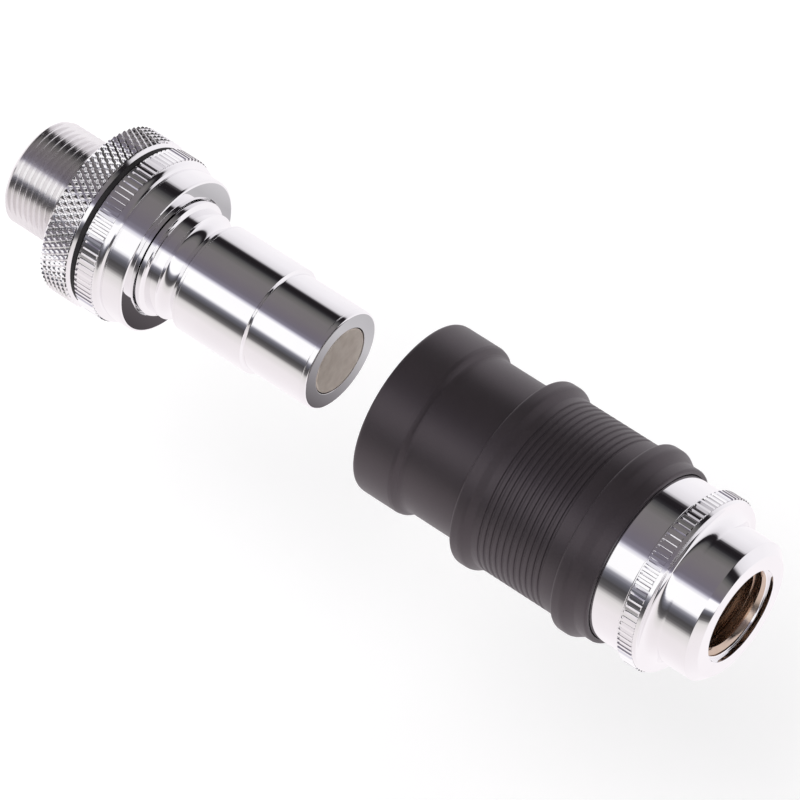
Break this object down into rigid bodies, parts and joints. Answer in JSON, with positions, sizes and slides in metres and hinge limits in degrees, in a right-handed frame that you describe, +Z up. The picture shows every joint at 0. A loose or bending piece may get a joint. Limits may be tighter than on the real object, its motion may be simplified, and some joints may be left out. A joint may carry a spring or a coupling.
{
  "type": "liquid cooling quick coupling",
  "caption": "Quick coupling for a liquid cooling loop: knurled-nut panel plug with a valved nose, and a ball-lock socket with a black grooved pull-back sleeve.",
  "frame": {"origin": "on the flow axis, at the flange face that seats against a panel", "axes": "+X along the flow axis from the plug half to the socket half, +Z up"},
  "size_m": [0.1209, 0.0284, 0.0284],
  "materials": {
    "chrome": "polished",
    "sleeve": "matte black anodised",
    "poppet": "satin nickel plated",
    "valve": "satin",
    "steel": "satin",
    "ball": "polished",
    "seal": "matte",
    "gasket": "matte"
  },
  "bodies": {
    "plug": {"plug_body": "chrome", "plug_nose": "chrome", "nose_seal": "seal", "spring_seat": "steel", "poppet_spring": "steel"},
    "gasket": {"panel_gasket": "gasket"},
    "nut": {"lock_nut": "chrome"},
    "poppet_body": {"poppet": "poppet", "poppet_seal": "seal"},
    "socket": {"socket_body": "chrome", "stop_ring": "steel", "body_seal": "seal", "end_adapter": "chrome", "adapter_seal": "seal", "valve_stem": "poppet", "stem_seal": "seal", "lock_spring": "steel", "valve_spring": "steel"},
    "valve": {"valve_sleeve": "valve"},
    "grip": {"lock_sleeve": "sleeve"},
    "ball_1_body": {"ball_1": "ball"},
    "ball_2_body": {"ball_2": "ball"},
    "ball_3_body": {"ball_3": "ball"},
    "ball_4_body": {"ball_4": "ball"},
    "ball_5_body": {"ball_5": "ball"},
    "ball_6_body": {"ball_6": "ball"}
  },
  "joints": [
    {"name": "gasket_slide", "type": "slide", "parent": "plug", "child": "gasket", "axis": [-1, 0, 0], "range_m": [0, 0.01]},
    {"name": "nut_turn", "type": "hinge", "parent": "gasket", "child": "nut", "pos_m": [0, 0, 0], "axis": [-1, 0, 0], "range_deg": [0, 3610]},
    {"name": "poppet_slide", "type": "slide", "parent": "plug", "child": "poppet_body", "axis": [-1, 0, 0], "range_m": [0, 0.01512], "stiffness_N_per_m": 800, "springref_m": -0.005, "deforming": ["poppet_spring"]},
    {"name": "socket_approach", "type": "slide", "parent": "poppet_body", "child": "socket", "axis": [-1, 0, 0], "range_m": [0, 0.02592]},
    {"name": "valve_sleeve_slide", "type": "slide", "parent": "socket", "child": "valve", "axis": [1, 0, 0], "range_m": [0, 0.01515], "deforming": ["valve_spring"]},
    {"name": "lock_sleeve_slide", "type": "slide", "parent": "socket", "child": "grip", "axis": [1, 0, 0], "range_m": [0, 0.0028], "stiffness_N_per_m": 500, "springref_m": -0.005, "deforming": ["lock_spring"]},
    {"name": "ball_1_slide", "type": "slide", "parent": "socket", "child": "ball_1_body", "axis": [0, 0, 1], "range_m": [0, 0.00066]},
    {"name": "ball_2_slide", "type": "slide", "parent": "socket", "child": "ball_2_body", "axis": [0, -0.866, 0.5], "range_m": [0, 0.00066]},
    {"name": "ball_3_slide", "type": "slide", "parent": "socket", "child": "ball_3_body", "axis": [0, -0.866, -0.5], "range_m": [0, 0.00066]},
    {"name": "ball_4_slide", "type": "slide", "parent": "socket", "child": "ball_4_body", "axis": [0, 0, -1], "range_m": [0, 0.00066]},
    {"name": "ball_5_slide", "type": "slide", "parent": "socket", "child": "ball_5_body", "axis": [0, 0.866, -0.5], "range_m": [0, 0.00066]},
    {"name": "ball_6_slide", "type": "slide", "parent": "socket", "child": "ball_6_body", "axis": [0, 0.866, 0.5], "range_m": [0, 0.00066]}
  ],
  "couplings": [
    {"joint": "nut_turn", "follows": "gasket_slide", "rad_per_m": 6283.2},
    {"joint": "valve_sleeve_slide", "follows": "poppet_slide", "ratio": 1},
    {"joint": "ball_1_slide", "follows": "lock_sleeve_slide", "ratio": 0.232},
    {"joint": "ball_2_slide", "follows": "lock_sleeve_slide", "ratio": 0.232},
    {"joint": "ball_3_slide", "follows": "lock_sleeve_slide", "ratio": 0.232},
    {"joint": "ball_4_slide", "follows": "lock_sleeve_slide", "ratio": 0.232},
    {"joint": "ball_5_slide", "follows": "lock_sleeve_slide", "ratio": 0.232},
    {"joint": "ball_6_slide", "follows": "lock_sleeve_slide", "ratio": 0.232}
  ]
}
